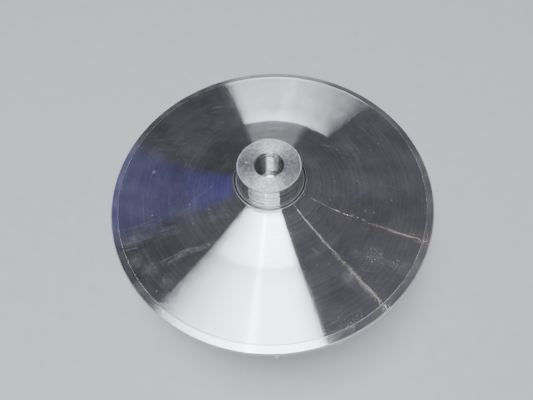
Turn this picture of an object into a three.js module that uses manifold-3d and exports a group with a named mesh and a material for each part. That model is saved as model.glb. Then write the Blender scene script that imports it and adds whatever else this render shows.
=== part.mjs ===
// Compressor wheel, milled from one aluminium billet: a disc with a turned back face,
// a stepped boss with a blind thread, nine main blades and nine splitters, and a hexagonal nose.
// Millimetres, +Z up. The wheel stands on its nose, blades down, and the boss points up.
// The origin is the centre of the nose's end face.

import * as THREE from 'three';
import { mergeVertices } from 'three/addons/utils/BufferGeometryUtils.js';
import Module from 'manifold-3d';

const wasm = await Module();
wasm.setup();

// Disc
const wheelRadius = 120;
const rimBackHeight = 76;
const rimThickness = 3.4;
const rimEdgeBreak = 0.7;
const roundSegments = 60;

// Back face: heights are above the rim's back edge
const bandInnerRadius = 114.4;
const bandRise = 0.5;
const shelfOuterRadius = 71.9;
const shelfInnerRadius = 64.1;
const shelfRise = 2.3;
const coneTopRadius = 28.6;
const coneTopRise = 10.4;
const coneDish = 1.1;
const coneSteps = 5;

// Boss
const flangeRadius = 26.6;
const flangeFootRise = 10;
const flangeTopRise = 15.2;
const flangeEdgeBreak = 0.4;
const bossRadius = 23;
const bossRise = 32.5;
const bossEdgeBreak = 0.7;

// Blind thread in the boss, M20 coarse
const threadMajorRadius = 10;
const threadMinorRadius = 8.65;
const threadPitch = 2.5;
const threadDepth = 22;
const threadCrestFlat = threadPitch / 8;
const threadGrooveOverlap = 0.6;
const threadMouthRadius = 10.5;
const threadSegments = 18;
const drillDepth = 27;
const drillPointAngle = 118;

// Nose and hub
const noseAcrossFlats = 28;
const noseHeight = 9;
const noseEndRadius = 13.7;
const noseTurnedRadius = 15.98;
const noseTurnedHeight = 1;
const shoulderRadius = 19;
const shoulderHeight = 9;
const hubStartRadius = 24;
const hubStartHeight = 11;
const hubSteps = 10;
const hubBend = [[25.5, 45], [60, 66]];

// Blades
const mainBladeCount = 9;
const firstBladeAngle = THREE.MathUtils.degToRad(4.6);
const inducerRadius = 84;
const inducerHeight = 14;
const exitWidth = 10.5;
const bladeTrailingRadius = wheelRadius - 0.35;
const shroudBend = [[84.5, 42], [97, 56.5]];
const bladeStart = 0.02;
const splitterStart = 0.34;
const mainSteps = 10;
const splitterSteps = 6;
const wrapAngle = 0.76;
const trailingLean = 0.008;
const hubInletSlope = 1.75;
const hubOutletSlope = 0.6;
const tipInletSlope = 1.3;
const tipOutletSlope = 0.3;
const rootThickness = 2.8;
const tipThickness = 1.4;
const filletSpread = 3.4;
const filletShare = 0.1;
const rootSink = 1.3;
const edgeTaper = 0.45;
const taperLength = 0.04;
const shareStep = 0.01;
const leastCrossing = 0.35;

// How far cutting and joining solids reach past the faces they meet
const overlap = 1;

// Corners closer than this are one corner
const mergeDistance = 1e-4;

const rimFrontHeight = rimBackHeight - rimThickness;
const point = (radius, height) => new THREE.Vector2(radius, height);

// A closed geometry becomes a solid that can be joined and cut
function solid(geometry) {
  const bare = geometry.index ? geometry.toNonIndexed() : geometry.clone();
  bare.deleteAttribute('normal');
  bare.deleteAttribute('uv');
  const merged = mergeVertices(bare, mergeDistance);
  const kept = [];
  const corners = merged.index.array;
  for (let i = 0; i < corners.length; i += 3) {
    const [a, b, c] = corners.slice(i, i + 3);
    if (a !== b && b !== c && c !== a) kept.push(a, b, c);
  }
  return new wasm.Manifold(new wasm.Mesh({
    numProp: 3,
    vertProperties: Float32Array.from(merged.attributes.position.array),
    triVerts: Uint32Array.from(kept),
  }));
}

function geometryOf(manifold) {
  const mesh = manifold.getMesh();
  const geometry = new THREE.BufferGeometry();
  geometry.setAttribute('position', new THREE.BufferAttribute(mesh.vertProperties, 3));
  geometry.setIndex(new THREE.BufferAttribute(mesh.triVerts, 1));
  return geometry;
}

// Turns a profile of (radius, height) points, given from the lower end of the axis
// round the outside to the upper end, about +Z
function turned(profile, segments = roundSegments) {
  return new THREE.LatheGeometry(profile, segments).rotateX(Math.PI / 2);
}

const hubCurve = new THREE.CubicBezierCurve(
  point(hubStartRadius, hubStartHeight),
  point(...hubBend[0]),
  point(...hubBend[1]),
  point(wheelRadius, rimFrontHeight),
);
const shroudCurve = new THREE.CubicBezierCurve(
  point(inducerRadius, inducerHeight),
  point(...shroudBend[0]),
  point(...shroudBend[1]),
  point(wheelRadius, rimFrontHeight - exitWidth),
);

// Disc, hub and boss as one turned body
function turnedBody() {
  const above = (radius, rise) => point(radius, rimBackHeight + rise);
  const profile = [point(0, shoulderHeight), point(shoulderRadius, shoulderHeight)];
  for (let i = 0; i <= hubSteps; i += 1) profile.push(hubCurve.getPointAt(i / hubSteps));
  profile.push(
    above(wheelRadius, -rimEdgeBreak),
    above(wheelRadius - rimEdgeBreak, 0),
    above(bandInnerRadius, bandRise),
    above(shelfOuterRadius, shelfRise),
    above(shelfInnerRadius, shelfRise),
  );
  for (let i = 1; i <= coneSteps; i += 1) {
    const share = i / coneSteps;
    const rise = THREE.MathUtils.lerp(shelfRise, coneTopRise, share);
    const dish = 4 * coneDish * share * (1 - share);
    profile.push(above(THREE.MathUtils.lerp(shelfInnerRadius, coneTopRadius, share), rise - dish));
  }
  profile.push(
    above(flangeRadius, flangeFootRise),
    above(flangeRadius, flangeTopRise - flangeEdgeBreak),
    above(flangeRadius - flangeEdgeBreak, flangeTopRise),
    above(bossRadius, flangeTopRise),
    above(bossRadius, bossRise - bossEdgeBreak),
    above(bossRadius - bossEdgeBreak, bossRise),
    above(0, bossRise),
  );
  return solid(turned(profile));
}

// Hexagonal drive that the wheel is tightened by, with its corners turned off
function noseHexagon() {
  const corner = noseAcrossFlats / Math.sqrt(3);
  const outline = new THREE.Shape();
  for (let i = 0; i < 6; i += 1) {
    const angle = i * Math.PI / 3;
    const step = i === 0 ? 'moveTo' : 'lineTo';
    outline[step](corner * Math.cos(angle), corner * Math.sin(angle));
  }
  outline.closePath();
  const bar = new THREE.ExtrudeGeometry(outline, { depth: noseHeight + overlap, bevelEnabled: false });
  const cover = turned([
    point(0, 0),
    point(noseEndRadius, 0),
    point(noseTurnedRadius, noseTurnedHeight),
    point(noseTurnedRadius, noseHeight + 2 * overlap),
    point(0, noseHeight + 2 * overlap),
  ]);
  return solid(bar).intersect(solid(cover));
}

// Blind hole with a countersunk mouth and a drill point
function threadHole() {
  const top = rimBackHeight + bossRise;
  const countersink = threadMouthRadius - threadMinorRadius;
  const pointDepth = threadMinorRadius / Math.tan(THREE.MathUtils.degToRad(drillPointAngle / 2));
  return solid(turned([
    point(0, top - drillDepth - pointDepth),
    point(threadMinorRadius, top - drillDepth),
    point(threadMinorRadius, top - countersink),
    point(threadMouthRadius, top),
    point(threadMouthRadius, top + overlap),
    point(0, top + overlap),
  ], threadSegments));
}

// Helical groove of the thread, from below the usable depth to above the mouth
function threadGroove() {
  const top = rimBackHeight + bossRise;
  const turns = (threadDepth + threadPitch) / threadPitch;
  const steps = Math.round(turns * threadSegments);
  const rootHalf = threadPitch / 2 - threadCrestFlat;
  const inner = threadMinorRadius - threadGrooveOverlap;
  const section = [[inner, -rootHalf], [threadMajorRadius, -threadCrestFlat / 2],
    [threadMajorRadius, threadCrestFlat / 2], [inner, rootHalf]];
  const positions = [];
  for (let i = 0; i <= steps; i += 1) {
    const angle = i / threadSegments * 2 * Math.PI;
    const height = top - threadDepth + i / threadSegments * threadPitch;
    for (const [radius, offset] of section) {
      positions.push(radius * Math.cos(angle), radius * Math.sin(angle), height + offset);
    }
  }
  const faces = [0, 1, 2, 0, 2, 3];
  for (let i = 0; i < steps; i += 1) {
    for (let j = 0; j < 4; j += 1) {
      const a = i * 4 + j;
      const b = i * 4 + (j + 1) % 4;
      faces.push(a, a + 4, b, b, a + 4, b + 4);
    }
  }
  const last = steps * 4;
  faces.push(last, last + 2, last + 1, last, last + 3, last + 2);
  const geometry = new THREE.BufferGeometry();
  geometry.setAttribute('position', new THREE.Float32BufferAttribute(positions, 3));
  geometry.setIndex(faces);
  return solid(geometry);
}

// Cubic that leaves 0 with one slope and arrives at an end value with another
function sweep(share, end, slopeIn, slopeOut) {
  const s2 = share * share;
  const s3 = s2 * share;
  return slopeIn * (s3 - 2 * s2 + share) + end * (3 * s2 - 2 * s3) + slopeOut * (s3 - s2);
}

// Point in the middle of a blade: share runs from the leading to the trailing edge,
// span from the hub to the tip. Gives radius, angle and height.
function camber(share, span) {
  const hub = hubCurve.getPointAt(bladeStart + share * (1 - bladeStart));
  const tip = shroudCurve.getPointAt(share);
  const hubAngle = sweep(share, wrapAngle, hubInletSlope, hubOutletSlope);
  const tipAngle = sweep(share, wrapAngle - trailingLean, tipInletSlope, tipOutletSlope);
  return [
    Math.min(THREE.MathUtils.lerp(hub.x, tip.x, span), bladeTrailingRadius),
    THREE.MathUtils.lerp(hubAngle, tipAngle, span),
    THREE.MathUtils.lerp(hub.y, tip.y, span),
  ];
}

const place = ([radius, angle, height]) => new THREE.Vector3(
  radius * Math.cos(angle), radius * Math.sin(angle), height,
);

// Thickness across the blade becomes a spread along the circumference, so that tips and
// trailing edges stay on their surfaces of revolution
function spreadAngle(share, span, thickness) {
  const from = Math.min(share, 1 - shareStep);
  const middle = place(camber(from, span));
  const along = place(camber(from + shareStep, span)).sub(middle);
  const across = place(camber(from, span + shareStep)).sub(middle);
  const normal = along.cross(across).normalize();
  const [radius, angle] = camber(share, span);
  const around = new THREE.Vector3(-Math.sin(angle), Math.cos(angle), 0);
  return thickness / Math.max(Math.abs(normal.dot(around)), leastCrossing) / radius;
}

function bladeThickness(share, start, span) {
  const plain = THREE.MathUtils.lerp(rootThickness, tipThickness, Math.max(span, 0));
  const fillet = filletSpread * Math.max(0, 1 - span / filletShare);
  const taper = THREE.MathUtils.clamp((share - start) / taperLength, edgeTaper, 1);
  return (plain + Math.min(fillet, filletSpread)) * taper;
}

function blade(start, steps) {
  const shares = [start, start + taperLength];
  for (let i = 1; i <= steps; i += 1) {
    shares.push(THREE.MathUtils.lerp(start + taperLength, 1, i / steps));
  }
  const spans = [-1, 0, filletShare, 1];
  const rows = spans.length;
  const positions = [];
  for (const side of [-0.5, 0.5]) {
    for (const share of shares) {
      for (const span of spans) {
        const level = Math.max(span, 0);
        const [radius, angle, height] = camber(share, level);
        const half = side * spreadAngle(share, level, bladeThickness(share, start, level));
        const [tipRadius, , tipHeight] = camber(share, 1);
        const sink = span < 0 ? rootSink / Math.hypot(tipRadius - radius, tipHeight - height) : 0;
        const sunkRadius = Math.min(radius - (tipRadius - radius) * sink, bladeTrailingRadius);
        const sunkHeight = height - (tipHeight - height) * sink;
        const corner = place([sunkRadius, angle + half, sunkHeight]);
        positions.push(corner.x, corner.y, corner.z);
      }
    }
  }
  const index = (side, i, j) => (side * shares.length + i) * rows + j;
  const faces = [];
  const quad = (a, b, c, d) => faces.push(a, b, c, a, c, d);
  for (let i = 0; i + 1 < shares.length; i += 1) {
    for (let j = 0; j + 1 < rows; j += 1) {
      quad(index(0, i, j), index(0, i, j + 1), index(0, i + 1, j + 1), index(0, i + 1, j));
      quad(index(1, i, j), index(1, i + 1, j), index(1, i + 1, j + 1), index(1, i, j + 1));
    }
    quad(index(0, i, 0), index(0, i + 1, 0), index(1, i + 1, 0), index(1, i, 0));
    const top = rows - 1;
    quad(index(0, i, top), index(1, i, top), index(1, i + 1, top), index(0, i + 1, top));
  }
  const end = shares.length - 1;
  for (let j = 0; j + 1 < rows; j += 1) {
    quad(index(0, 0, j), index(1, 0, j), index(1, 0, j + 1), index(0, 0, j + 1));
    quad(index(0, end, j), index(0, end, j + 1), index(1, end, j + 1), index(1, end, j));
  }
  const geometry = new THREE.BufferGeometry();
  geometry.setAttribute('position', new THREE.Float32BufferAttribute(positions, 3));
  geometry.setIndex(faces);
  return geometry;
}

function wheel() {
  let body = turnedBody().add(noseHexagon());
  const pitch = 2 * Math.PI / mainBladeCount;
  const mainBlade = blade(0, mainSteps);
  const splitter = blade(splitterStart, splitterSteps);
  for (let i = 0; i < mainBladeCount; i += 1) {
    const angle = firstBladeAngle + i * pitch;
    body = body.add(solid(mainBlade.clone().rotateZ(angle)));
    body = body.add(solid(splitter.clone().rotateZ(angle + pitch / 2)));
  }
  return geometryOf(body.subtract(threadHole()).subtract(threadGroove()));
}

const aluminium = new THREE.MeshStandardMaterial({ color: 0xa9abb0, roughness: 0.28, metalness: 1 });

const object = new THREE.Group();
const compressorWheel = new THREE.Mesh(wheel(), aluminium);
compressorWheel.name = 'compressor_wheel';
object.add(compressorWheel);

export default object;
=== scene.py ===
# Compressor wheel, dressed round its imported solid. Metres, +Z up, standing on its nose.
# The turned body, its thread and the blades are made here as fine meshes from the same sizes
# as the solid, and their finish is turned and milled aluminium.

import math

import bpy
import numpy as np
from mathutils import Matrix, Vector


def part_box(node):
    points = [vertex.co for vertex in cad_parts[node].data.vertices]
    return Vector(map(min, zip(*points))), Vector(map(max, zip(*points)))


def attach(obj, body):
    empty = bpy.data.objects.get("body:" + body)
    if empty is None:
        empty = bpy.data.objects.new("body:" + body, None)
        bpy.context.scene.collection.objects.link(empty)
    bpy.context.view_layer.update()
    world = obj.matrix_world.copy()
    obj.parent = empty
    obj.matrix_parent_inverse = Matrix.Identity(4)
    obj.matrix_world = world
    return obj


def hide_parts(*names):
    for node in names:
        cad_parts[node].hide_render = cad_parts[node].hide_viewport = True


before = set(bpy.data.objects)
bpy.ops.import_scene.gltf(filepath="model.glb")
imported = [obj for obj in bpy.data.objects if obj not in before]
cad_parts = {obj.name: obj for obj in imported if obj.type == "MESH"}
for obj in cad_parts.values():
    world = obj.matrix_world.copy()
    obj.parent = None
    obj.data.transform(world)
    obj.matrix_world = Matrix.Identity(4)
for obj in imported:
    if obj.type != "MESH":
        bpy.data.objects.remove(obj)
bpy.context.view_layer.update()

MM = 0.001
NODE = "compressor_wheel"
node_low, node_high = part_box(NODE)

# Disc, from the frame and in millimetres from here on
WHEEL_RADIUS = node_high.x / MM
TOP_HEIGHT = node_high.z / MM
BOSS_RISE = 32.5
RIM_BACK = TOP_HEIGHT - BOSS_RISE
RIM_THICKNESS = 3.4
RIM_FRONT = RIM_BACK - RIM_THICKNESS
RIM_EDGE_BREAK = 0.7
RIM_LIP_RISE = 0.01

# Back face: rises are above the rim's back edge
BAND_INNER_RADIUS = 114.4
BAND_RISE = 0.5
SHELF_OUTER_RADIUS = 71.9
SHELF_INNER_RADIUS = 64.1
SHELF_RISE = 2.3
CONE_TOP_RADIUS = 28.6
CONE_TOP_RISE = 10.4
CONE_DISH = 1.1

# Burr left where the rim's band meets the face, above the band's inner edge
BURR_RISE = 0.06

# Boss
FLANGE_RADIUS = 26.6
FLANGE_FOOT_RISE = 10.0
FLANGE_FOOT_RUNOUT = 0.6
FLANGE_TOP_RISE = 15.2
FLANGE_EDGE_BREAK = 0.4
BOSS_RADIUS = 23.0
BOSS_EDGE_BREAK = 0.7
BOSS_WORN_RING = 0.5
NECK_FILLET = 0.5
NECK_FILLET_MIDDLE = 0.15

# Turning ridges round the boss: (pitch, depth, share of a pitch that they start at)
BOSS_RIDGES = ((1.25, 0.10, 0.0), (3.4, 0.08, 0.4))
RIDGE_STEP = 0.25
RIDGE_START = 1.0
RIDGE_END = 0.3

# Dents in the boss's end face: (x, y, radius, depth)
DENTS = (
    (-15.5, 3.0, 1.0, 0.25),
    (-17.5, -2.0, 0.7, 0.15),
    (-13.0, 7.5, 0.8, 0.15),
    (-19.0, 5.5, 0.6, 0.12),
)
DENT_REACH = 0.01

# Blind thread, M20 coarse. The flank lies between two shares of half a pitch, and the part of
# the flank beyond the root's share of its depth is painted near black, as painted shade in the roots.
THREAD_MAJOR_RADIUS = 10.0
THREAD_MINOR_RADIUS = 8.65
THREAD_PITCH = 2.5
THREAD_DEPTH = 22.0
THREAD_MOUTH_RADIUS = 10.5
THREAD_FLANK = (0.14, 0.76)
SHADED_ROOT_SHARE = 0.35
DRILL_DEPTH = 27.0
DRILL_POINT_ANGLE = 118.0

# Nose and hub
NOSE_ACROSS_FLATS = 28.0
NOSE_HEIGHT = 9.0
NOSE_END_RADIUS = 13.7
NOSE_TURNED_RADIUS = 15.98
NOSE_TURNED_HEIGHT = 1.0
SHOULDER_RADIUS = 19.0
SHOULDER_BREAK = 0.3
SHOULDER_LIP = 0.1
HUB_START = (24.0, 11.0)
HUB_BEND = ((25.5, 45.0), (60.0, 66.0))

# Blades
MAIN_BLADES = 9
FIRST_BLADE_ANGLE = math.radians(4.6)
INDUCER = (84.0, 14.0)
EXIT_WIDTH = 10.5
TRAILING_INSET = 0.35
BLADE_TRAILING_RADIUS = WHEEL_RADIUS - TRAILING_INSET
SHROUD_BEND = ((84.5, 42.0), (97.0, 56.5))
BLADE_START = 0.02
SPLITTER_START = 0.34
WRAP_ANGLE = 0.76
TRAILING_LEAN = 0.008
HUB_SLOPES = (1.75, 0.6)
TIP_SLOPES = (1.3, 0.3)
ROOT_THICKNESS = 2.8
TIP_THICKNESS = 1.4
TIP_EDGE_BREAK = 0.15
LEADING_LENGTH = 0.03
FILLET_RADIUS = 2.5
ROOT_SINK = 0.8
HUB_LENGTH = 120.0
LEAST_CROSSING = 0.35

# How finely the meshes are made
ROUND_STEPS = 240
HUB_ROWS = 61
BAND_ROWS = 6
OUTER_FACE_ROWS = 16
SHELF_ROWS = 8
CONE_ROWS = 26
FOOT_ROWS = 6
FOOT_START = 0.15
END_FACE_ROWS = 22
THREAD_ROWS = 10
BLADE_ROWS = 34
SPLITTER_ROWS = 26
BLADE_SPANS = 9
FILLET_ROWS = 7
CURVE_STEPS = 400
BLADE_STATIONS = 50
SHARE_STEP = 0.01
WELD_DECIMALS = 3
BODY_SHARP_ANGLE = 30
BLADE_SHARP_ANGLE = 38

# Rows of corners on the nose: radii on its end, heights up its side, closest together where the
# hexagon's corners are turned off, and a radius on its shoulder
NOSE_END_ROWS = (4.0, 10.0)
NOSE_SIDE_ROWS = (0.0, 0.13, 0.3, 0.5, 0.7, 0.85, 1.0, 1.15, 3.0, 6.0)
SHOULDER_ROW = 17.5

# Rows of corners on the rim: one midway up its side, and how far in the band's rows start
RIM_MIDDLE_ROW = -1.6
BAND_START = 1.2

# Rows of corners down the drilled end of the hole, as shares of its wall and of its point
DRILL_WALL_ROWS = (0.5, 0.99, 1.0)
DRILL_POINT_ROWS = (0.05, 0.5)

# Gaps between an edge's row and the row beside it, which keep the shading crisp
RIM_GAP = 0.08
BOSS_GAP = 0.1
FRONT_GAP = 0.15
BURR_BAND_GAP = 0.16
BURR_FACE_GAP = 0.2
SHELF_GAP = 0.4
FACE_GAP = 1.0

# Finishes of the turned body, by material slot
# The thread root's slot holds a near-black finish: painted shade in the thread's roots
TURNED, BAND, BOSS, FACE, THREAD, THREAD_ROOT_SHADE, EDGE, MILLED, NOSE = range(9)

# Range that most of a noise's values fall in
NOISE_RANGE = (0.3, 0.7)

# Turned finish: how many of each pattern lie in a metre. The rings are those of the lathe tool.
RINGS_PER_METRE = 1200000.0
LINES_PER_METRE = 1100.0
WIDE_RINGS_PER_METRE = 300.0
STREAKS_PER_METRE = 420.0
CLOUDS_PER_METRE = 38.0
SMEARS_PER_METRE = 34.0
BREAKS_PER_METRE = 420.0
GRAINS_PER_METRE = 330.0

# Turned finish: how often the streaks change round the axis, and the rings' twist beside them
STREAKS_ROUND_AXIS = 1.6
TWISTS_PER_STREAK = 3.1

# Turned finish: the share of the height in the run across the rings, so that walls have rings
# too, the streaks' tilt beside that of the lines, and how far the rings twist round the axis
HEIGHT_IN_RUN = 1.37
STREAK_TILT = 1.5
RING_TWIST = 0.0006

# Turned finish: brightness left by its patterns where they are darkest, and how they dull it
CLOUD_SHADE = 0.93
STREAK_SHADE = 0.94
LINE_SHADE = 0.86
SMEAR_ROUGHNESS = 1.3
SMEAR_HAZE = 1.4
STREAK_HAZE = 0.5
GROOVE_HAZE = 0.5

# Milled finish: lines along and across the flow, their bump's strength and height, and clouds
CUTTER_LINES = (3.0, 60.0, 60.0)
CUTTER_BUMP = (0.3, 0.0002)
MILLED_CLOUDS_PER_METRE = 30.0

# End face's finish
END_RINGS_PER_METRE = 1500.0
MOTTLES_PER_METRE = 520.0
END_RING_HEIGHT = 0.7
END_BUMP = (0.5, 0.00025)
END_ANISOTROPY = 0.6

# Worn edges' finish
WEAR_PER_METRE = 600.0
FACET_TILT = 1.2

# Floor
FLOOR_REACH = 6.0
FLOOR_SPECKS_PER_METRE = 90.0

# Scratches on the turned face: (start, end, width, strength)
SCRATCHES = (
    ((-109.0, -25.0), (-98.0, -23.0), 0.5, 0.08),
    ((-98.0, -23.0), (-82.0, -17.0), 0.5, 0.10),
    ((-105.6, -41.2), (-97.2, -40.0), 0.7, 0.16),
    ((-107.0, -37.0), (-88.0, -33.0), 0.6, 0.12),
    ((-80.0, -52.5), (-66.5, -46.5), 0.5, 0.25),
    ((-66.5, -46.5), (-59.0, -43.8), 0.5, 0.20),
    ((-57.0, -5.5), (-41.7, 4.2), 0.5, 0.10),
    ((-71.0, 47.6), (-64.4, 47.8), 0.6, 0.07),
    ((-87.7, 44.7), (-73.0, 43.0), 0.6, 0.06),
    ((-43.0, 83.0), (-24.0, 85.3), 0.7, 0.10),
    ((-45.0, 78.6), (-28.0, 79.8), 0.6, 0.06),
    ((42.4, 35.2), (50.8, 32.5), 0.7, 0.09),
    ((56.3, 22.4), (63.5, 18.7), 0.6, 0.08),
    ((81.6, -3.7), (94.6, -9.8), 0.5, 0.07),
    ((58.5, -59.5), (81.0, -68.5), 0.5, 0.08),
    ((56.5, -69.5), (65.0, -72.0), 0.6, 0.06),
    ((25.0, -51.8), (28.7, -55.1), 0.7, 0.12),
    ((30.7, -111.0), (46.6, -106.0), 0.6, 0.18),
)

# Shares of a scratch's width where it starts to fade and where it ends
SCRATCH_CORE = 0.15
SCRATCH_EDGE = 0.75

# Patches rubbed with fine parallel lines: (start, end, width, strength)
RUBS = (
    ((-106.5, -35.0), (-69.9, -28.7), 8.0, 0.14),
    ((-109.2, -29.2), (-81.9, -21.0), 6.0, 0.09),
    ((-76.9, -53.1), (-59.6, -45.9), 5.0, 0.26),
    ((-59.6, -45.9), (-44.1, -42.9), 5.0, 0.24),
    ((-93.0, -49.0), (-83.0, -58.0), 12.0, 0.05),
    ((-81.0, -61.0), (-74.0, -64.0), 12.0, 0.06),
    ((-70.0, -14.0), (-58.0, -10.0), 9.0, 0.09),
    ((-43.0, -21.0), (-32.0, -25.0), 10.0, 0.10),
    ((-96.0, 56.0), (-70.0, 52.0), 8.0, 0.06),
    ((-47.0, 84.0), (-20.0, 88.0), 7.0, 0.08),
    ((39.0, -69.0), (60.0, -86.0), 8.0, 0.07),
    ((55.0, -57.0), (85.0, -71.0), 9.0, 0.12),
    ((29.0, -105.0), (45.0, -98.0), 13.0, 0.10),
    ((30.0, -112.0), (52.0, -104.0), 6.0, 0.25),
    ((38.0, 38.0), (70.0, 26.0), 9.0, 0.06),
    ((75.0, 58.0), (95.0, 30.0), 12.0, 0.05),
)
RUB_LINES_ALONG = 70.0
RUB_LINES_ACROSS = 1100.0

# Specks of dirt and small dings on the turned face: (x, y, radius, strength)
SPECKS = (
    (-88.8, 23.0, 2.2, 0.25),
    (-78.1, 64.2, 0.9, 0.12),
    (-54.6, -51.6, 0.5, 0.25),
    (-116.1, 12.2, 1.2, 0.15),
    (89.1, -38.3, 0.8, 0.08),
)

# Soft smudges: (x, y, radius, strength)
SMUDGES = (
    (47.5, -74.2, 9.0, 0.1),
    (-97.0, -50.1, 9.0, 0.09),
    (-87.2, -57.2, 9.0, 0.09),
    (-75.3, -66.6, 8.0, 0.1),
    (-99.4, -33.4, 8.0, 0.08),
)

# Patches littered with crumbs of swarf: (x, y, radius, strength)
CRUMBLY = (
    (66.0, -60.5, 11.0, 0.75),
    (79.0, -66.0, 9.0, 0.6),
    (44.0, -104.0, 14.0, 0.75),
)
CRUMBS_PER_METRE = 900.0

# Light of the studio round the panels, and the way it leans brighter
STUDIO_LIGHT = 0.112
STUDIO_LEAN = (0.33, -0.52, 0)
STUDIO_COLOUR = (0.97, 0.97, 1.12, 1)

# Colour of the lights overhead
PANEL_COLOUR = (0.97, 1.0, 1.07)

# Share of a thin strip's energy that its nodes let out
STRIP_HOLD = 0.001

# Camera at the photo's angle, solved from the wheel's rings: in wheel radii, above the rim
PHOTO_WIDTH = 533
PHOTO_FOCAL_PIXELS = 450
CAMERA_PLACE = (-0.0303, -1.4651, 2.4112)
CAMERA_DOWN = math.radians(60.04)
CAMERA_ROLL = math.radians(-4.53)
SENSOR_WIDTH = 36
CLIP_START = 0.01


def bezier(points):
    """A cubic's points, evenly spaced along its length, as a function of the share run."""
    corners = np.array(points, float)
    t = np.linspace(0, 1, CURVE_STEPS)[:, None]
    line = ((1 - t) ** 3 * corners[0] + 3 * (1 - t) ** 2 * t * corners[1]
            + 3 * (1 - t) * t ** 2 * corners[2] + t ** 3 * corners[3])
    run = np.concatenate([[0], np.cumsum(np.linalg.norm(np.diff(line, axis=0), axis=1))])
    run /= run[-1]

    def at(share):
        return np.stack([np.interp(share, run, line[:, 0]), np.interp(share, run, line[:, 1])], -1)

    return at


hub_curve = bezier([HUB_START, *HUB_BEND, (WHEEL_RADIUS, RIM_FRONT)])
shroud_curve = bezier([INDUCER, *SHROUD_BEND, (WHEEL_RADIUS, RIM_FRONT - EXIT_WIDTH)])


def link_piece(name, vertices, faces, face_slots, flow, materials, sharp_angle):
    """A closed mesh in millimetres becomes a smooth shaded piece that rides on the wheel. The
    flow is each corner's place along and across the air's path, which the milled lines follow."""
    mesh = bpy.data.meshes.new(name)
    mesh.from_pydata([Vector(v) * MM for v in vertices], [], faces)
    for material in materials:
        mesh.materials.append(material)
    mesh.polygons.foreach_set("material_index", face_slots)
    mesh.shade_smooth()
    mesh.set_sharp_from_angle(angle=math.radians(sharp_angle))
    piece = bpy.data.objects.new(name, mesh)
    bpy.context.scene.collection.objects.link(piece)
    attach(piece, "root")
    attribute = mesh.attributes.new("flow", "FLOAT_VECTOR", "POINT")
    attribute.data.foreach_set("vector", np.asarray(flow).ravel())
    return piece


def make_camera():
    """The photo's camera, turned down and rolled."""
    data = bpy.data.cameras.new("camera")
    data.sensor_width = SENSOR_WIDTH
    data.lens = data.sensor_width * PHOTO_FOCAL_PIXELS / PHOTO_WIDTH
    data.clip_start = CLIP_START
    camera = bpy.data.objects.new("camera", data)
    forward = Vector((0, math.cos(CAMERA_DOWN), -math.sin(CAMERA_DOWN)))
    right = Vector((1, 0, 0))
    up = right.cross(forward)
    turned_right = math.cos(CAMERA_ROLL) * right + math.sin(CAMERA_ROLL) * up
    turned_up = turned_right.cross(forward)
    place = Vector(CAMERA_PLACE) * WHEEL_RADIUS + Vector((0, 0, RIM_BACK))
    turn = Matrix((turned_right, turned_up, -forward)).transposed()
    camera.matrix_world = Matrix.LocRotScale(place * MM, turn.to_quaternion(), None)
    bpy.context.scene.collection.objects.link(camera)
    bpy.context.scene.camera = camera


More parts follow.
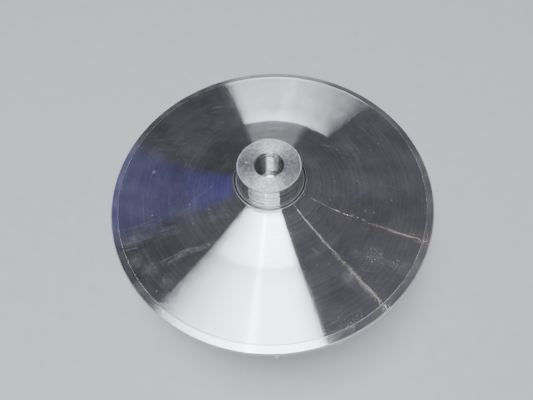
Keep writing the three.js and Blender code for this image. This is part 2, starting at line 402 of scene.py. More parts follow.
class Nodes:
    """Short names for building one node material."""

    def __init__(self, name):
        self.material = bpy.data.materials.new(name)
        self.material.use_nodes = True
        self.tree = self.material.node_tree
        self.shader = self.tree.nodes["Principled BSDF"]
        self.coordinates = self.node("ShaderNodeTexCoord").outputs["Object"]

    def node(self, kind, **settings):
        """A new node with its settings."""
        made = self.tree.nodes.new(kind)
        for name, value in settings.items():
            setattr(made, name, value)
        return made

    def put(self, socket, value):
        """Links a socket to a node's output, or sets its value."""
        if isinstance(value, bpy.types.NodeSocket):
            self.tree.links.new(value, socket)
        else:
            socket.default_value = value

    def shade(self, name, value):
        """Puts a value on one of the shader's sockets."""
        self.put(self.shader.inputs[name], value)

    def math(self, operation, *values):
        """A sum, product or the like of numbers."""
        made = self.node("ShaderNodeMath", operation=operation)
        for socket, value in zip(made.inputs, values):
            self.put(socket, value)
        return made.outputs[0]

    def vector(self, operation, *values):
        """A sum, product or the like of vectors."""
        made = self.node("ShaderNodeVectorMath", operation=operation)
        sockets = (made.inputs[0], made.inputs["Scale"]) if operation == "SCALE" else made.inputs
        for socket, value in zip(sockets, values):
            self.put(socket, value)
        scalar = operation in ("DOT_PRODUCT", "LENGTH", "DISTANCE")
        return made.outputs["Value" if scalar else "Vector"]

    def combine(self, x, y, z):
        """A vector from three numbers."""
        made = self.node("ShaderNodeCombineXYZ")
        for socket, value in zip(made.inputs, (x, y, z)):
            self.put(socket, value)
        return made.outputs[0]

    def flat_and_height(self):
        """The place on the wheel seen along its axis, and the height."""
        axes = self.node("ShaderNodeSeparateXYZ")
        self.put(axes.inputs[0], self.coordinates)
        return self.combine(axes.outputs[0], axes.outputs[1], 0.0), axes.outputs[2]

    def noise(self, place, scale, detail=2.0, roughness=0.5, dimensions="3D"):
        """Smooth noise from 0 to 1."""
        made = self.node("ShaderNodeTexNoise", noise_dimensions=dimensions)
        self.put(made.inputs["W" if dimensions == "1D" else "Vector"], place)
        made.inputs["Scale"].default_value = scale
        made.inputs["Detail"].default_value = detail
        made.inputs["Roughness"].default_value = roughness
        return made.outputs[0]

    def cells(self, scale):
        """Scattered cells: the distance from a cell's middle and a number that is its own."""
        made = self.node("ShaderNodeTexVoronoi")
        self.put(made.inputs["Vector"], self.coordinates)
        made.inputs["Scale"].default_value = scale
        return made.outputs["Distance"], made.outputs["Color"]

    def map(self, value, low, high, to_low, to_high, smooth=False):
        """A value's range mapped to another and held at its ends."""
        kind = "SMOOTHSTEP" if smooth else "LINEAR"
        made = self.node("ShaderNodeMapRange", interpolation_type=kind)
        for socket, setting in zip(made.inputs[:5], (value, low, high, to_low, to_high)):
            self.put(socket, setting)
        return made.outputs[0]

    def ring_chance(self, run, shift):
        """A chance number from 0 to 1 for each fine turning ring."""
        ring = self.math("FLOOR", self.math("MULTIPLY", run, RINGS_PER_METRE))
        made = self.node("ShaderNodeTexWhiteNoise", noise_dimensions="1D")
        self.put(made.inputs["W"], self.math("ADD", ring, shift))
        return made.outputs["Value"]

    def swing(self, value, amount):
        """A noise's departure from its middle, times an amount."""
        return self.math("MULTIPLY", self.math("SUBTRACT", value, 0.5), amount)

    def grey(self, value):
        """A colour with one value in all its parts."""
        made = self.node("ShaderNodeCombineColor")
        for socket in made.inputs:
            self.put(socket, value)
        return made.outputs[0]

    def scratch(self, flat, start, end, width, strength):
        """Strength on a straight scratch and 0 beside it."""
        first = Vector((*start, 0)) * MM
        run = Vector((*end, 0)) * MM - first
        away = self.vector("SUBTRACT", flat, first)
        share = self.node("ShaderNodeClamp")
        self.put(share.inputs[0], self.vector("DOT_PRODUCT", away, run / run.length_squared))
        distance = self.vector("DISTANCE", away, self.vector("SCALE", run, share.outputs[0]))
        core = SCRATCH_CORE * width * MM
        edge = SCRATCH_EDGE * width * MM
        return self.map(distance, core, edge, strength, 0.0, smooth=True)

    def rub(self, flat, start, end, width, strength):
        """Strength on a rubbed patch's fine parallel lines and 0 beside it."""
        along = (Vector((*end, 0)) - Vector((*start, 0))).normalized()
        across = Vector((-along.y, along.x, 0))
        place = self.combine(self.vector("DOT_PRODUCT", flat, along * RUB_LINES_ALONG),
                             self.vector("DOT_PRODUCT", flat, across * RUB_LINES_ACROSS), strength)
        lines = self.map(self.noise(place, 1.0, 3.0, 0.7), 0.45, 0.72, 0.0, 1.0)
        return self.math("MULTIPLY", self.scratch(flat, start, end, width, strength), lines)

    def speck(self, flat, x, y, radius, strength):
        """Strength in the middle of a speck and 0 beside it."""
        distance = self.vector("DISTANCE", flat, (x * MM, y * MM, 0))
        return self.map(distance, 0.0, radius * MM, strength, 0.0, smooth=True)

    def crumbs(self, flat):
        """Strength on the crumbs in the littered patches and 0 elsewhere."""
        distance, chance = self.cells(CRUMBS_PER_METRE)
        littered = 0.0
        for patch in CRUMBLY:
            littered = self.math("MAXIMUM", littered, self.speck(flat, *patch))
        settled = self.map(self.vector("LENGTH", chance), 0.8, 1.2, 0.0, 1.0)
        crumb = self.math("MULTIPLY", self.map(distance, 0.15, 0.4, 1.0, 0.0), settled)
        return self.math("MULTIPLY", crumb, littered)

    def marks(self, flat):
        """Strength of all the marks on the turned face and 0 between them."""
        strongest = 0.0
        for mark in SCRATCHES:
            strongest = self.math("MAXIMUM", strongest, self.scratch(flat, *mark))
        for mark in SPECKS + SMUDGES:
            strongest = self.math("MAXIMUM", strongest, self.speck(flat, *mark))
        strongest = self.math("MAXIMUM", strongest, self.crumbs(flat))
        for mark in RUBS:
            strongest = self.math("MAXIMUM", strongest, self.rub(flat, *mark))
        return strongest

    def bump(self, height, strength, distance):
        """A normal that follows a height."""
        made = self.node("ShaderNodeBump")
        made.inputs["Strength"].default_value = strength
        made.inputs["Distance"].default_value = distance
        self.put(made.inputs["Height"], height)
        return made.outputs[0]

    def anisotropic(self, amount):
        """Gloss drawn out across the turning rings, a quarter turn from the way round the axis."""
        self.shade("Anisotropic", amount)
        self.shade("Anisotropic Rotation", 0.25)
        tangent = self.node("ShaderNodeTangent", direction_type="RADIAL", axis="Z")
        self.shade("Tangent", tangent.outputs[0])


def turned_finish(name, bright=0.85, roughness=0.098, tilt=0.58, inner_tilt=None, arcs=0.011,
                  haze=0.035, groove_shade_and_haze=0.0, marked=False):
    """Metal turned on a lathe. Its fine rings tilt the surface in and out, which spreads light
    along the radius and keeps it sharp round the axis. Short arcs, smears, dust and scratches
    break the rings up. Inside the shelf the rings can have a tilt of their own."""
    n = Nodes(name)
    flat, height = n.flat_and_height()
    run = n.math("ADD", n.vector("LENGTH", flat), n.math("MULTIPLY", height, HEIGHT_IN_RUN))
    outward = n.vector("NORMALIZE", flat)
    around = n.vector("CROSS_PRODUCT", (0.0, 0.0, 1.0), outward)
    fine = n.math("SUBTRACT", n.ring_chance(run, 0.0), n.ring_chance(run, 0.5))
    lines = n.noise(run, LINES_PER_METRE, 2.0, 0.6, dimensions="1D")
    turned_place = n.vector("SCALE", outward, STREAKS_ROUND_AXIS)
    run_place = n.combine(0.0, 0.0, n.math("MULTIPLY", run, STREAKS_PER_METRE))
    polar = n.vector("ADD", turned_place, run_place)
    streaks = n.noise(polar, 1.0, 4.0, 0.65)
    ragged = n.math("ADD", n.swing(lines, arcs), n.swing(streaks, arcs * STREAK_TILT))
    spread = tilt
    if inner_tilt is not None:
        edge = SHELF_INNER_RADIUS * MM
        spread = n.map(n.vector("LENGTH", flat), edge - MM, edge + MM, inner_tilt, tilt)
    tilted = n.math("ADD", n.math("MULTIPLY", fine, spread), ragged)
    twist = n.swing(n.noise(polar, TWISTS_PER_STREAK, 3.0, 0.6), RING_TWIST)
    normal = n.node("ShaderNodeNewGeometry").outputs["Normal"]
    across = n.vector("SCALE", n.vector("CROSS_PRODUCT", around, normal), tilted)
    bent = n.vector("ADD", n.vector("ADD", normal, across), n.vector("SCALE", around, twist))
    n.shade("Normal", n.vector("NORMALIZE", bent))

    cloud = n.noise(n.coordinates, CLOUDS_PER_METRE, 4.0, 0.6)
    wide_rings = n.noise(run, WIDE_RINGS_PER_METRE, 3.0, 0.75, dimensions="1D")
    clouded = n.map(cloud, *NOISE_RANGE, bright * CLOUD_SHADE, bright)
    streaked = n.map(streaks, *NOISE_RANGE, STREAK_SHADE, 1.0)
    shade = n.math("MULTIPLY", clouded, streaked)
    # The wide rings are painted darker where the grooves lie: painted shade between the boss's turning
    # ridges
    shade = n.math("MULTIPLY", shade, n.map(wide_rings, 0.36, 0.5, 1 - groove_shade_and_haze, 1.0))
    shade = n.math("MULTIPLY", shade, n.map(lines, 0.35, 0.65, LINE_SHADE, 1.0))
    n.shade("Base Color", n.grey(shade))
    smear = n.noise(n.coordinates, SMEARS_PER_METRE, 9.0, 0.72)
    n.shade("Roughness", n.map(smear, 0.35, 0.7, roughness, roughness * SMEAR_ROUGHNESS))

    smeared = n.map(smear, 0.36, 0.72, 0.0, SMEAR_HAZE * haze)
    dull = n.math("ADD", smeared, n.map(streaks, 0.5, 0.75, 0.0, STREAK_HAZE * haze))
    dull = n.math("ADD", dull, n.map(wide_rings, 0.52, 0.62, 0.0, GROOVE_HAZE * groove_shade_and_haze))
    distance, chance = n.cells(GRAINS_PER_METRE)
    broken = n.map(n.noise(n.coordinates, BREAKS_PER_METRE, 3.0, 0.7), 0.38, 0.62, 0.25, 1.0)
    settled = n.map(n.vector("LENGTH", chance), 1.1, 1.4, 0.0, 0.5)
    dust = n.math("MULTIPLY", n.map(distance, 0.05, 0.17, 1.0, 0.0), settled)
    dull = n.math("ADD", dull, n.math("MULTIPLY", dust, broken))
    if marked:
        dull = n.math("ADD", dull, n.math("MULTIPLY", n.marks(flat), broken))
    n.shade("Metallic", n.math("SUBTRACT", 1.0, dull))
    n.anisotropic(1.0)
    return n.material


def milled_finish(name, bright):
    """Metal milled along the blades, with faint cutter lines that run with the flow."""
    n = Nodes(name)
    flow = n.node("ShaderNodeAttribute", attribute_name="flow").outputs["Vector"]
    lines = n.noise(n.vector("MULTIPLY", flow, CUTTER_LINES), 1.0, 2.0)
    n.shade("Normal", n.bump(lines, *CUTTER_BUMP))
    cloud = n.noise(n.coordinates, MILLED_CLOUDS_PER_METRE, 4.0, 0.6)
    clouded = n.map(cloud, *NOISE_RANGE, bright * 0.92, bright)
    shade = n.math("MULTIPLY", clouded, n.map(lines, *NOISE_RANGE, 0.93, 1.0))
    n.shade("Base Color", n.grey(shade))
    n.shade("Roughness", n.map(lines, *NOISE_RANGE, 0.20, 0.32))
    n.shade("Metallic", n.map(cloud, 0.4, 0.75, 1.0, 0.94))
    return n.material


def face_finish(name, bright):
    """The boss's end face: turned, then mottled and dulled by handling."""
    n = Nodes(name)
    flat, _ = n.flat_and_height()
    rings = n.noise(n.vector("LENGTH", flat), END_RINGS_PER_METRE, 2.0, 0.6, dimensions="1D")
    mottle = n.noise(n.coordinates, MOTTLES_PER_METRE, 5.0, 0.75)
    worn = n.map(mottle, 0.40, 0.62, 0.55, 1.0)
    shade = n.math("MULTIPLY", n.math("MULTIPLY", worn, bright), n.map(rings, *NOISE_RANGE, 0.88, 1.0))
    n.shade("Base Color", n.grey(shade))
    n.shade("Roughness", n.map(mottle, 0.35, 0.7, 0.34, 0.5))
    height = n.math("ADD", mottle, n.math("MULTIPLY", rings, END_RING_HEIGHT))
    n.shade("Normal", n.bump(height, *END_BUMP))
    n.shade("Metallic", n.map(mottle, 0.4, 0.7, 0.93, 1.0))
    n.anisotropic(END_ANISOTROPY)
    return n.material


def edge_finish(name, bright):
    """Broken edges, rubbed smooth by handling, that glint whichever way they face."""
    n = Nodes(name)
    wear = n.noise(n.coordinates, WEAR_PER_METRE, 3.0, 0.6)
    n.shade("Base Color", n.grey(n.map(wear, 0.35, 0.65, 0.8 * bright, bright)))
    n.shade("Roughness", n.map(wear, 0.35, 0.65, 0.28, 0.45))
    n.shade("Metallic", n.map(wear, 0.35, 0.65, 0.92, 1.0))
    facet = n.node("ShaderNodeTexWhiteNoise", noise_dimensions="3D")
    n.put(facet.inputs["Vector"], n.coordinates)
    swing = n.vector("SUBTRACT", facet.outputs["Color"], (0.5, 0.5, 0.5))
    turned_away = n.vector("SCALE", swing, FACET_TILT)
    normal = n.node("ShaderNodeNewGeometry").outputs["Normal"]
    n.shade("Normal", n.vector("NORMALIZE", n.vector("ADD", normal, turned_away)))
    return n.material


def floor_finish():
    """Plain pale matt floor."""
    n = Nodes("pale_floor")
    speck = n.noise(n.coordinates, FLOOR_SPECKS_PER_METRE, 3.0)
    n.shade("Base Color", n.grey(n.map(speck, *NOISE_RANGE, 0.60, 0.63)))
    n.shade("Roughness", 0.6)
    return n.material


def back_rise(radius):
    """Height of the back face above the rim's back edge, from the cone's top outwards."""
    share = np.clip((SHELF_INNER_RADIUS - radius) / (SHELF_INNER_RADIUS - CONE_TOP_RADIUS), 0, 1)
    cone = SHELF_RISE + (CONE_TOP_RISE - SHELF_RISE) * share - 4 * CONE_DISH * share * (1 - share)
    outer = np.interp(radius, [SHELF_INNER_RADIUS, SHELF_OUTER_RADIUS, BAND_INNER_RADIUS, WHEEL_RADIUS],
                      [SHELF_RISE, SHELF_RISE, BAND_RISE, 0])
    return np.where(radius < SHELF_INNER_RADIUS, cone, outer)


def nose_radius(height, angles):
    """The hexagon's outline at one height, with its corners turned off at the end."""
    hexagon = NOSE_ACROSS_FLATS / 2 / np.cos(np.mod(angles, math.pi / 3) - math.pi / 6)
    share = min(height / NOSE_TURNED_HEIGHT, 1)
    return np.minimum(hexagon, NOSE_END_RADIUS + (NOSE_TURNED_RADIUS - NOSE_END_RADIUS) * share)


def body_rows(angles):
    """Rows of the turned body from the nose's end to the mouth of the thread: each is the
    radius at every angle, the height, the share run along the hub and the finish."""
    rows = []

    def row(radius, height, finish, share=-1.0):
        rows.append((np.broadcast_to(np.asarray(radius, float), angles.shape), height, share, finish))

    for radius in NOSE_END_ROWS:
        row(radius, 0.0, NOSE)
    for height in (*NOSE_SIDE_ROWS, NOSE_HEIGHT - FRONT_GAP, NOSE_HEIGHT):
        row(nose_radius(height, angles), height, NOSE)
    for radius in (SHOULDER_ROW, SHOULDER_RADIUS - SHOULDER_BREAK, SHOULDER_RADIUS):
        row(radius, NOSE_HEIGHT, NOSE)
    row(SHOULDER_RADIUS + SHOULDER_BREAK, NOSE_HEIGHT + SHOULDER_LIP, NOSE)
    for share in np.linspace(0, 1, HUB_ROWS):
        radius, height = hub_curve(share)
        row(radius, height, MILLED, share)
    for rise in (-RIM_THICKNESS + FRONT_GAP, RIM_MIDDLE_ROW, -RIM_EDGE_BREAK - RIM_GAP, -RIM_EDGE_BREAK):
        row(WHEEL_RADIUS, RIM_BACK + rise, BAND)
    row(WHEEL_RADIUS - RIM_EDGE_BREAK, RIM_BACK, EDGE)
    row(WHEEL_RADIUS - RIM_EDGE_BREAK - RIM_GAP, RIM_BACK + RIM_LIP_RISE, BAND)
    band_edge = BAND_INNER_RADIUS + BURR_BAND_GAP
    for radius in np.linspace(WHEEL_RADIUS - BAND_START, band_edge, BAND_ROWS):
        row(radius, RIM_BACK + back_rise(radius), BAND)
    row(BAND_INNER_RADIUS, RIM_BACK + BAND_RISE + BURR_RISE, EDGE)
    radii = np.concatenate([
        [BAND_INNER_RADIUS - BURR_FACE_GAP],
        np.linspace(BAND_INNER_RADIUS - FACE_GAP, SHELF_OUTER_RADIUS + FACE_GAP, OUTER_FACE_ROWS),
        np.linspace(SHELF_OUTER_RADIUS + SHELF_GAP, SHELF_INNER_RADIUS - SHELF_GAP, SHELF_ROWS),
        np.linspace(SHELF_INNER_RADIUS - FACE_GAP, CONE_TOP_RADIUS, CONE_ROWS),
    ])
    for radius in radii:
        row(radius, RIM_BACK + back_rise(radius), TURNED)
    foot_climb = FLANGE_FOOT_RISE + FLANGE_FOOT_RUNOUT - CONE_TOP_RISE
    for turn in np.linspace(FOOT_START, 1, FOOT_ROWS) * math.pi / 2:
        radius = CONE_TOP_RADIUS - (CONE_TOP_RADIUS - FLANGE_RADIUS) * math.sin(turn)
        rise = CONE_TOP_RISE + foot_climb * (1 - math.cos(turn))
        row(radius, RIM_BACK + rise, TURNED)
    for radius, rise, finish in boss_profile():
        row(radius, RIM_BACK + rise, finish)
    return rows


def boss_profile():
    """Flange, neck and boss above the cone, up to the countersink's edge: radius, rise above the
    rim's back edge and finish."""
    flange_side = FLANGE_TOP_RISE - FLANGE_EDGE_BREAK
    flange_top_edge = FLANGE_RADIUS - FLANGE_EDGE_BREAK
    points = [
        (FLANGE_RADIUS, flange_side - BOSS_GAP, BOSS),
        (FLANGE_RADIUS, flange_side, BOSS),
        (flange_top_edge, FLANGE_TOP_RISE, EDGE),
        (flange_top_edge - BOSS_GAP, FLANGE_TOP_RISE, BOSS),
        (BOSS_RADIUS + NECK_FILLET, FLANGE_TOP_RISE, BOSS),
        (BOSS_RADIUS + NECK_FILLET_MIDDLE, FLANGE_TOP_RISE + NECK_FILLET_MIDDLE, BOSS),
        (BOSS_RADIUS, FLANGE_TOP_RISE + NECK_FILLET, BOSS),
    ]
    boss_side = BOSS_RISE - BOSS_EDGE_BREAK
    for rise in np.arange(FLANGE_TOP_RISE + RIDGE_START, boss_side - RIDGE_END, RIDGE_STEP):
        depth = sum(deep / 2 * (1 - math.cos(2 * math.pi * (rise / pitch + share)))
                    for pitch, deep, share in BOSS_RIDGES)
        points.append((BOSS_RADIUS - depth, rise, BOSS))
    face_edge = BOSS_RADIUS - BOSS_EDGE_BREAK
    points += [
        (BOSS_RADIUS, boss_side - BOSS_GAP, BOSS),
        (BOSS_RADIUS, boss_side, BOSS),
        (face_edge, BOSS_RISE, BOSS),
        (face_edge - BOSS_WORN_RING, BOSS_RISE, EDGE),
    ]
    inner_edge = THREAD_MOUTH_RADIUS + BOSS_GAP
    for radius in np.linspace(face_edge - BOSS_WORN_RING, inner_edge, END_FACE_ROWS):
        points.append((radius, BOSS_RISE, FACE))
    points.append((THREAD_MOUTH_RADIUS, BOSS_RISE, FACE))
    return points


def thread_radius(phase):
    """Radius of the internal thread's flank at a share of its pitch."""
    away = np.abs(np.mod(phase, 1) - 0.5) * 2
    radii = (THREAD_MAJOR_RADIUS, THREAD_MAJOR_RADIUS, THREAD_MINOR_RADIUS, THREAD_MINOR_RADIUS)
    return np.interp(away, (0, *THREAD_FLANK, 1), radii)


def hole_rows(angles):
    """Rows down the threaded hole, each the radius and height at every angle, how many of them
    are on the thread, and the height that the drill's point reaches."""
    top = RIM_BACK + BOSS_RISE
    turns = angles / (2 * math.pi)
    sink = THREAD_MOUTH_RADIUS - THREAD_MINOR_RADIUS
    pitches = int(THREAD_DEPTH / THREAD_PITCH) + 2
    rows = []
    for k in range(pitches * THREAD_ROWS + 1):
        depth = (k / THREAD_ROWS - turns) * THREAD_PITCH
        fade = np.clip((THREAD_DEPTH - depth) / THREAD_PITCH, 0, 1)
        cut = thread_radius(k / THREAD_ROWS) - THREAD_MINOR_RADIUS
        radius = THREAD_MINOR_RADIUS + cut * fade
        depth = np.clip(depth, 0, THREAD_DEPTH)
        cone = THREAD_MINOR_RADIUS + sink * (1 - depth / sink)
        rows.append((np.maximum(radius, cone), top - depth))
    thread_count = len(rows)
    point = THREAD_MINOR_RADIUS / math.tan(math.radians(DRILL_POINT_ANGLE / 2))
    for share in DRILL_WALL_ROWS:
        rows.append((np.full_like(angles, THREAD_MINOR_RADIUS),
                     np.full_like(angles, top - THREAD_DEPTH - (DRILL_DEPTH - THREAD_DEPTH) * share)))
    for share in DRILL_POINT_ROWS:
        rows.append((np.full_like(angles, THREAD_MINOR_RADIUS * (1 - share)),
                     np.full_like(angles, top - DRILL_DEPTH - point * share)))
    return rows, thread_count, top - DRILL_DEPTH - point


def make_body(materials):
    """Disc, hub, nose, boss and thread as one closed mesh."""
    angles = np.arange(ROUND_STEPS) * 2 * math.pi / ROUND_STEPS
    rings = [(radius, np.full_like(angles, height), share, finish)
             for radius, height, share, finish in body_rows(angles)]
    first_thread = len(rings)
    hole, thread_count, drill_end = hole_rows(angles)
    rings += [(radius, height, -1.0, THREAD) for radius, height in hole]
    last_thread = first_thread + thread_count - 1

    def corner(ring, column):
        """Where a ring's corner is in the list. After a full turn a thread has gained a pitch."""
        if column == ROUND_STEPS and first_thread <= ring <= last_thread:
            ring = max(ring - THREAD_ROWS, first_thread)
        return ring * ROUND_STEPS + column % ROUND_STEPS

    vertices = []
    flow = []
    for radius, height, share, _ in rings:
        vertices.append(np.stack([radius * np.cos(angles), radius * np.sin(angles), height], -1))
        turned = angles - swept(share, WRAP_ANGLE, HUB_SLOPES) if share >= 0 else angles
        flow.append(np.stack([np.full_like(angles, share), np.cos(turned), np.sin(turned)], -1))
    vertices = np.concatenate([*vertices, [(0, 0, 0), (0, 0, drill_end)]])
    flow = np.concatenate([*flow, [(0, 0, 0), (0, 0, 0)]])

    faces = []
    slots = []
    sink_floor = RIM_BACK + BOSS_RISE - (THREAD_MOUTH_RADIUS - THREAD_MINOR_RADIUS)
    # Beyond this radius a thread flank is painted near black: painted shade deep in the roots
    root = THREAD_MINOR_RADIUS + SHADED_ROOT_SHARE * (THREAD_MAJOR_RADIUS - THREAD_MINOR_RADIUS)
    for ring in range(len(rings) - 1):
        finish = rings[ring + 1][3]
        on_thread = first_thread <= ring < last_thread
        phase = (ring - first_thread + 0.5) / THREAD_ROWS
        if on_thread and thread_radius(phase) > root:
            finish = THREAD_ROOT_SHADE
        for column in range(ROUND_STEPS):
            face = (corner(ring, column), corner(ring, column + 1),
                    corner(ring + 1, column + 1), corner(ring + 1, column))
            faces.append(face)
            sunk = finish in (THREAD, THREAD_ROOT_SHADE) and vertices[face[3]][2] > sink_floor
            slots.append(BOSS if sunk else finish)
    start, end = len(vertices) - 2, len(vertices) - 1
    last = len(rings) - 1
    for column in range(ROUND_STEPS):
        faces.append((start, corner(0, column + 1), corner(0, column)))
        slots.append(NOSE)
        faces.append((end, corner(last, column), corner(last, column + 1)))
        slots.append(THREAD)
    dent(vertices)
    kept, faces, slots = weld(vertices, faces, slots)
    return link_piece("turned_body", vertices[kept].tolist(), faces, slots, flow[kept], materials,
                      BODY_SHARP_ANGLE)


def dent(vertices):
    """Presses the dents into the boss's end face."""
    top = vertices[:, 2] > RIM_BACK + BOSS_RISE - DENT_REACH
    for x, y, radius, depth in DENTS:
        away = np.hypot(vertices[:, 0] - x, vertices[:, 1] - y) / radius
        vertices[:, 2] -= np.where(top, depth * np.clip(1 - away ** 2, 0, 1) ** 2, 0)


def weld(vertices, faces, slots):
    """Keeps one corner where several fall together, and leaves out the faces that vanish."""
    rounded = np.round(vertices, WELD_DECIMALS)
    _, kept, place = np.unique(rounded, axis=0, return_index=True, return_inverse=True)
    place = place.ravel()
    whole = []
    whole_slots = []
    for face, slot in zip(faces, slots):
        corners = [place[face[i]] for i in range(len(face)) if place[face[i]] != place[face[i - 1]]]
        if len(corners) > 2:
            whole.append(corners)
            whole_slots.append(slot)
    return kept, whole, whole_slots


def swept(share, end, slopes):
    """Cubic that leaves 0 with one slope and arrives at an end value with another."""
    slope_in, slope_out = slopes
    return (slope_in * (share ** 3 - 2 * share ** 2 + share) + end * (3 * share ** 2 - 2 * share ** 3)
            + slope_out * (share ** 3 - share ** 2))


def camber(share, span):
    """Middle of a blade: radius, angle and height at each share run and span."""
    hub = hub_curve(BLADE_START + share * (1 - BLADE_START))
    tip = shroud_curve(share)
    hub_angle = swept(share, WRAP_ANGLE, HUB_SLOPES)
    tip_angle = swept(share, WRAP_ANGLE - TRAILING_LEAN, TIP_SLOPES)
    place = hub + (tip - hub) * span[:, None]
    radius = np.minimum(place[:, 0], BLADE_TRAILING_RADIUS)
    return radius, hub_angle + (tip_angle - hub_angle) * span, place[:, 1]


def cartesian(radius, angle, height):
    """Points given by radius, angle and height."""
    return np.stack([radius * np.cos(angle), radius * np.sin(angle), height], -1)


def spread_angle(share, span, thickness):
    """Thickness across the blade as a spread round the axis."""
    start = np.clip(share, 0, 1 - SHARE_STEP)
    middle = cartesian(*camber(start, span))
    along = cartesian(*camber(start + SHARE_STEP, span)) - middle
    across = cartesian(*camber(start, span + SHARE_STEP)) - middle
    normal = np.cross(along, across)
    normal /= np.linalg.norm(normal, axis=1)[:, None]
    radius, angle, _ = camber(share, span)
    around = np.stack([-np.sin(angle), np.cos(angle), np.zeros_like(angle)], -1)
    crossing = np.abs((normal * around).sum(1))
    return thickness / np.maximum(crossing, LEAST_CROSSING) / radius


def blade_loops(start, rows):
    """Closed loops round a blade from under the hub's surface, through the root fillet and up
    to the broken edge of the tip."""
    stations = np.linspace(0, 1, BLADE_STATIONS)
    heights = np.linalg.norm(shroud_curve(stations) - hub_curve(stations), axis=1)
    easing = 1 - np.cos(np.linspace(0, 1, rows) * math.pi / 2)
    levels = [(-ROOT_SINK, FILLET_RADIUS)]
    for turn in np.linspace(0, 1, FILLET_ROWS) * math.pi / 2:
        levels.append((FILLET_RADIUS * (1 - math.cos(turn)), FILLET_RADIUS * (1 - math.sin(turn))))
    loops = []
    for level, extra in levels:
        run = start - extra / HUB_LENGTH + (1 - start + extra / HUB_LENGTH) * easing
        span = level / np.interp(run, stations, heights)
        loops.append(loop(run, span, start, extra, 0.0))
    run = start + (1 - start) * easing
    height = np.interp(run, stations, heights)
    low = FILLET_RADIUS / height
    high = 1 - TIP_EDGE_BREAK / height
    for share in np.linspace(0, 1, BLADE_SPANS)[1:]:
        loops.append(loop(run, low + (high - low) * share, start, 0.0, 0.0))
    loops.append(loop(run, np.ones_like(height), start, 0.0, TIP_EDGE_BREAK))
    return loops


def loop(run, span, start, extra, slim):
    """One loop: out along one side to the trailing edge and back along the other."""
    level = np.clip(span, 0, 1)
    edge = LEADING_LENGTH + extra / HUB_LENGTH
    inside = np.clip((run - (start - extra / HUB_LENGTH)) / edge, 0, 1)
    nose = np.sqrt(np.clip(1 - (1 - inside) ** 2, 0, 1))
    tapered = ROOT_THICKNESS + (TIP_THICKNESS - ROOT_THICKNESS) * level
    thickness = (tapered + 2 * extra - 2 * slim) * nose
    half = spread_angle(run, level, thickness) / 2
    radius, angle, height = camber(run, span)
    return cartesian(radius, angle - half, height), cartesian(radius, angle + half, height), run, span


def make_blade(name, start, rows, turn, material):
    """A blade with its root fillet, turned to its place round the axis."""
    vertices = []
    flow = []
    loops = blade_loops(start, rows)
    around = 2 * rows - 1
    for low_side, high_side, run, span in loops:
        vertices += low_side[::-1].tolist() + high_side[1:].tolist()
        along = np.stack([run, span, np.zeros_like(run)], -1)
        flow += along[::-1].tolist() + (along[1:] + (0, 0, 1)).tolist()
    faces = []
    for i in range(len(loops) - 1):
        for j in range(around):
            k = (j + 1) % around
            faces.append((i * around + j, i * around + k, (i + 1) * around + k, (i + 1) * around + j))
    last = (len(loops) - 1) * around
    for j in range(rows - 1):
        mirror = around - 1 - j
        if mirror - 1 > j + 1:
            faces.append((last + j, last + j + 1, last + mirror - 1, last + mirror))
            faces.append((mirror, mirror - 1, j + 1, j))
        else:
            faces.append((last + j, last + j + 1, last + mirror))
            faces.append((mirror, j + 1, j))
    turned = np.array(vertices) @ np.array(Matrix.Rotation(turn, 3, "Z")).T
    slots = [0] * len(faces)
    link_piece(name, turned.tolist(), faces, slots, flow, [material], BLADE_SHARP_ANGLE)


def make_blades(material):
    """Main blades all round the hub, each with a splitter halfway to the next."""
    pitch = 2 * math.pi / MAIN_BLADES
    for i in range(MAIN_BLADES):
        turn = FIRST_BLADE_ANGLE + i * pitch
        make_blade(f"main_blade_{i + 1:02d}", 0.0, BLADE_ROWS, turn, material)
        make_blade(f"splitter_{i + 1:02d}", SPLITTER_START, SPLITTER_ROWS, turn + pitch / 2, material)


def make_floor():
    """A wide square floor under the nose."""
    reach = FLOOR_REACH
    mesh = bpy.data.meshes.new("floor")
    corners = [(-reach, -reach, 0), (reach, -reach, 0), (reach, reach, 0), (-reach, reach, 0)]
    mesh.from_pydata(corners, [], [(0, 1, 2, 3)])
    mesh.materials.append(floor_finish())
    floor = bpy.data.objects.new("floor", mesh)
    bpy.context.scene.collection.objects.link(floor)


def make_area_light(name, place, size, power, colour):
    """A rectangular light that shines straight down until it is turned."""
    data = bpy.data.lights.new(name, "AREA")
    data.shape = "RECTANGLE"
    data.size, data.size_y = size
    data.energy = power
    data.color = colour
    light = bpy.data.objects.new(name, data)
    light.location = place
    bpy.context.scene.collection.objects.link(light)
    return light


def make_panel(name, place, size, turn, power, colour):
    """A level panel that shines straight down, turned round the vertical by so many degrees."""
    light = make_area_light(name, place, size, power, colour)
    light.rotation_euler.z = math.radians(turn)
    return light.data


def make_strip(name, place, size, turn, power, colour):
    """A panel as thin as a wire. Its energy is raised and its nodes hold the light back by as much,
    so that it's sampled as often as the large panels and its reflections come out cleaner."""
    data = make_panel(name, place, size, turn, power / STRIP_HOLD, colour)
    data.use_nodes = True
    hold = data.node_tree.nodes.new("ShaderNodeLightFalloff")
    hold.inputs["Strength"].default_value = STRIP_HOLD
    emission = data.node_tree.nodes["Emission"]
    data.node_tree.links.new(hold.outputs["Quadratic"], emission.inputs["Strength"])


def make_window(name, place, size, power, colour):
    """A light that shines at the middle of the rim, and that only its reflections show."""
    light = make_area_light(name, place, size, power, colour)
    back = (Vector(place) - Vector((0, 0, RIM_BACK * MM))).normalized()
    light.rotation_mode = "QUATERNION"
    light.rotation_quaternion = back.to_track_quat("Z", "Y")
    light.visible_camera = False


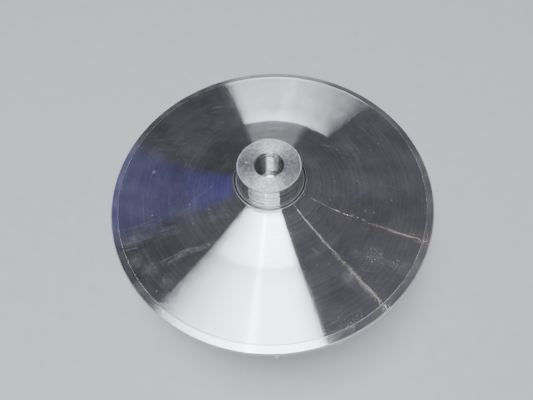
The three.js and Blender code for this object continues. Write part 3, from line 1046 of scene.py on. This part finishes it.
def make_world():
    """A dark studio, a little lighter at the right and towards the camera."""
    world = bpy.data.worlds.new("studio")
    world.use_nodes = True
    tree = world.node_tree
    place = tree.nodes.new("ShaderNodeTexCoord").outputs["Generated"]
    lean = tree.nodes.new("ShaderNodeVectorMath")
    lean.operation = "DOT_PRODUCT"
    tree.links.new(place, lean.inputs[0])
    lean.inputs[1].default_value = STUDIO_LEAN
    bright = tree.nodes.new("ShaderNodeMath")
    bright.operation = "MULTIPLY_ADD"
    tree.links.new(lean.outputs["Value"], bright.inputs[0])
    bright.inputs[1].default_value = STUDIO_LIGHT
    bright.inputs[2].default_value = STUDIO_LIGHT
    tree.links.new(bright.outputs[0], tree.nodes["Background"].inputs["Strength"])
    tree.nodes["Background"].inputs["Color"].default_value = STUDIO_COLOUR
    bpy.context.scene.world = world


def make_lights():
    """A large soft panel and a tube overhead, two thin warm strips at the right, a dim cool
    window at the left and a dim wall behind."""
    make_panel("overhead_panel", place=(-0.235, -0.465, 2.665), size=(1.37, 2.12), turn=17.8,
               power=100, colour=PANEL_COLOUR)
    make_panel("overhead_tube", place=(-0.35, -0.50, 2.66), size=(0.10, 2.0), turn=-11.5,
               power=4, colour=PANEL_COLOUR)
    make_strip("warm_strip_near", place=(0.312, -0.06, 0.676), size=(0.15, 0.0013), turn=-50.4,
               power=0.0135, colour=(1.0, 0.93, 0.84))
    make_strip("warm_strip_far", place=(0.684, 0.282, 1.036), size=(0.18, 0.0016), turn=-16.0,
               power=0.022, colour=(1.0, 0.80, 0.56))
    make_window("cool_window", place=(-0.96, 0.80, 1.1), size=(0.75, 0.5), power=0.45,
                colour=(0.13, 0.11, 1.0))
    make_window("far_wall", place=(0.16, 1.95, 0.72), size=(0.80, 0.8), power=1.03,
                colour=(0.94, 0.98, 1.04))


make_camera()
make_world()
make_lights()
make_floor()

# In the order of the finishes' slots
body = make_body([
    turned_finish("turned_face", inner_tilt=0.42, marked=True),
    turned_finish("turned_band", roughness=0.15, tilt=0.30, arcs=0.08, haze=0.09, marked=True),
    # The boss's wide rings carry painted shade in the grooves between its ridges, and dull them there
    turned_finish("turned_boss", roughness=0.12, tilt=6.0, arcs=1.2, haze=0.05, groove_shade_and_haze=0.6),
    face_finish("boss_end", bright=0.88),
    turned_finish("thread_wall", bright=0.95, roughness=0.2, tilt=0.15, arcs=0.05, haze=0.05),
    # Near black: painted shade deep in the thread's roots
    turned_finish("thread_root_painted_shade", bright=0.04, roughness=0.3, tilt=0.1, arcs=0.05, haze=0.05),
    edge_finish("worn_edge", bright=0.95),
    milled_finish("milled_hub", bright=0.8),
    turned_finish("turned_nose", bright=0.8, roughness=0.2, tilt=0.18, arcs=0.15, haze=0.04),
])
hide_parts(NODE)
make_blades(milled_finish("milled_blade", bright=0.8))
